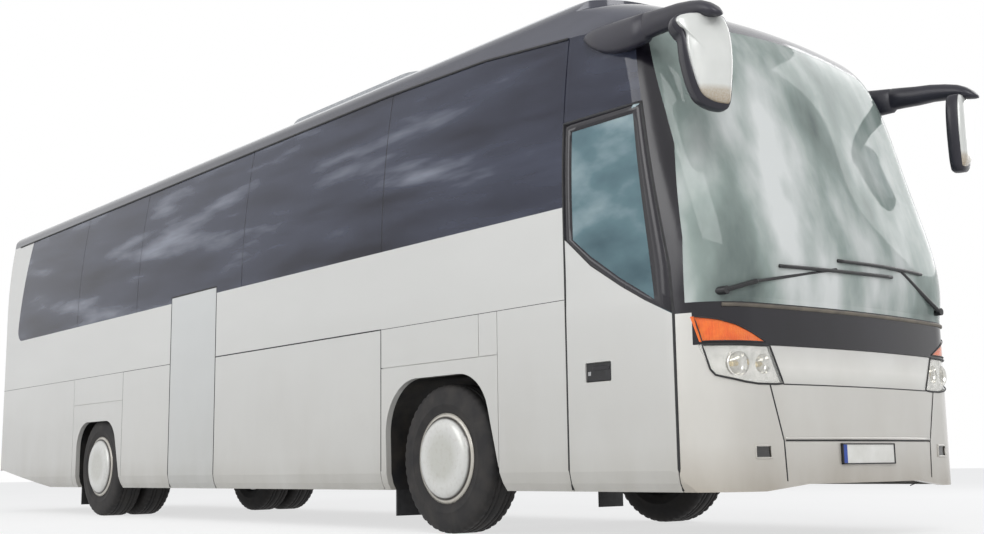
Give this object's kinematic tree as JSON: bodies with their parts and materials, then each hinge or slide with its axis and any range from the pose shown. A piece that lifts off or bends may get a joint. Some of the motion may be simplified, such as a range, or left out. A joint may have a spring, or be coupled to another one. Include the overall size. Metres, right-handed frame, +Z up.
{
  "type": "coach bus",
  "caption": "High-deck touring coach with a large windscreen, a front and a middle door, steered front wheels, luggage flaps, engine lid and roof hatch.",
  "frame": {"origin": "on the road under the middle of the whole coach, mirrors and plates included", "axes": "+Z up, -Y towards the front of the coach, the passenger doors at -X"},
  "size_m": [2.9206, 12.276, 3.6898],
  "materials": {
    "body_paint": "gloss",
    "roof_paint": "gloss",
    "silver_paint": "gloss",
    "black_paint": "gloss",
    "windscreen_glass": "clear",
    "tinted_glass": "tinted",
    "door_glass": "tinted",
    "clear_lens": "clear",
    "amber_lens": "gloss",
    "red_lens": "gloss",
    "lamp_reflector": "polished",
    "plate_blank": "satin",
    "floor_board": "matte",
    "step_tread": "matte",
    "chassis_steel": "satin",
    "axle_iron": "rough",
    "engine_iron": "rough",
    "wheel_cover": "gloss",
    "tyre": "matte",
    "rubber": "matte",
    "arm_steel": "satin",
    "seat_fabric": "woven",
    "dash_plastic": "matte",
    "grey_plastic": "satin",
    "mirror_shell": "gloss",
    "wiper_black": "matte"
  },
  "bodies": {
    "coach": {"windscreen": "windscreen_glass", "screen_frame": "black_paint", "front_band": "black_paint", "silver_band": "silver_paint", "bumper": "body_paint", "front_corners": "body_paint", "lamp_lenses": "clear_lens", "headlamps": "lamp_reflector", "indicators": "amber_lens", "number_plates": "plate_blank", "side_panels_right": "body_paint", "side_panels_left": "body_paint", "waist_panels": "body_paint", "window_frames": "black_paint", "side_glass": "tinted_glass", "rear_wall": "body_paint", "rear_window": "tinted_glass", "tail_lamps": "red_lens", "deck_floor": "floor_board", "cab_floor": "floor_board", "steps": "step_tread", "hold_floor": "floor_board", "bulkheads": "chassis_steel", "wheelhouses": "chassis_steel", "underframe": "chassis_steel", "front_axle": "axle_iron", "rear_axle": "axle_iron", "air_springs": "rubber", "engine_block": "engine_iron", "mud_flaps": "rubber", "seats": "seat_fabric", "dashboard": "dash_plastic", "luggage_racks": "dash_plastic", "roof_shell": "roof_paint", "roof_ac_unit": "grey_plastic", "mirrors": "mirror_shell", "wipers": "wiper_black"},
    "knuckle_left": {"knuckle_left": "axle_iron"},
    "knuckle_right": {"knuckle_right": "axle_iron"},
    "wheel_front_left": {"wheel_front_left": "wheel_cover", "tyre_front_left": "tyre"},
    "wheel_front_right": {"wheel_front_right": "wheel_cover", "tyre_front_right": "tyre"},
    "wheel_rear_left": {"wheel_rear_left": "wheel_cover", "tyre_rear_left": "tyre"},
    "wheel_rear_right": {"wheel_rear_right": "wheel_cover", "tyre_rear_right": "tyre"},
    "front_door_arm": {"front_door_arm": "arm_steel"},
    "front_door": {"front_door": "body_paint", "front_door_glass": "door_glass"},
    "middle_door_arm": {"middle_door_arm": "arm_steel"},
    "middle_door": {"middle_door": "body_paint"},
    "luggage_flap_right": {"luggage_flap_right": "body_paint"},
    "luggage_flap_left_front": {"luggage_flap_left_front": "body_paint"},
    "luggage_flap_left_rear": {"luggage_flap_left_rear": "body_paint"},
    "engine_lid": {"engine_lid": "body_paint"},
    "roof_hatch": {"roof_hatch": "roof_paint"}
  },
  "joints": [
    {"name": "steer_left", "type": "hinge", "parent": "coach", "child": "knuckle_left", "pos_m": [0.906, -3.338, 0.522], "axis": [0, 0, 1], "range_deg": [-44, 44]},
    {"name": "steer_right", "type": "hinge", "parent": "coach", "child": "knuckle_right", "pos_m": [-0.906, -3.338, 0.522], "axis": [0, 0, 1], "range_deg": [-44, 44]},
    {"name": "spin_front_left", "type": "hinge", "parent": "knuckle_left", "child": "wheel_front_left", "pos_m": [1.076, -3.338, 0.522], "axis": [1, 0, 0], "continuous": true},
    {"name": "spin_front_right", "type": "hinge", "parent": "knuckle_right", "child": "wheel_front_right", "pos_m": [-1.076, -3.338, 0.522], "axis": [1, 0, 0], "continuous": true},
    {"name": "spin_rear_left", "type": "hinge", "parent": "coach", "child": "wheel_rear_left", "pos_m": [1.076, 2.822, 0.522], "axis": [1, 0, 0], "continuous": true},
    {"name": "spin_rear_right", "type": "hinge", "parent": "coach", "child": "wheel_rear_right", "pos_m": [-1.076, 2.822, 0.522], "axis": [1, 0, 0], "continuous": true},
    {"name": "front_door_column", "type": "hinge", "parent": "coach", "child": "front_door_arm", "pos_m": [-1.16, -5.495, 1], "axis": [0, 0, 1], "range_deg": [0, 135]},
    {"name": "front_door_pivot", "type": "hinge", "parent": "front_door_arm", "child": "front_door", "pos_m": [-1.16, -5.055, 1], "axis": [0, 0, 1], "range_deg": [-135, 0]},
    {"name": "middle_door_column", "type": "hinge", "parent": "coach", "child": "middle_door_arm", "pos_m": [-1.16, 0.937, 1], "axis": [0, 0, -1], "range_deg": [0, 135]},
    {"name": "middle_door_pivot", "type": "hinge", "parent": "middle_door_arm", "child": "middle_door", "pos_m": [-1.16, 0.497, 1], "axis": [0, 0, -1], "range_deg": [-135, 0]},
    {"name": "flap_right_hinge", "type": "hinge", "parent": "coach", "child": "luggage_flap_right", "pos_m": [-1.275, -1.268, 1.489], "axis": [0, 1, 0], "range_deg": [0, 95]},
    {"name": "flap_left_front_hinge", "type": "hinge", "parent": "coach", "child": "luggage_flap_left_front", "pos_m": [1.275, -1.428, 1.489], "axis": [0, -1, 0], "range_deg": [0, 95]},
    {"name": "flap_left_rear_hinge", "type": "hinge", "parent": "coach", "child": "luggage_flap_left_rear", "pos_m": [1.275, 0.962, 1.489], "axis": [0, -1, 0], "range_deg": [0, 95]},
    {"name": "engine_lid_hinge", "type": "hinge", "parent": "coach", "child": "engine_lid", "pos_m": [0, 6.133, 1.594], "axis": [1, 0, 0], "range_deg": [0, 80]},
    {"name": "roof_hatch_hinge", "type": "hinge", "parent": "coach", "child": "roof_hatch", "pos_m": [0, 0.182, 3.5403], "axis": [1, 0, 0], "range_deg": [0, 45]}
  ],
  "couplings": [
    {"joint": "steer_right", "follows": "steer_left", "ratio": 1},
    {"joint": "front_door_pivot", "follows": "front_door_column", "ratio": -1},
    {"joint": "middle_door_pivot", "follows": "middle_door_column", "ratio": -1}
  ]
}
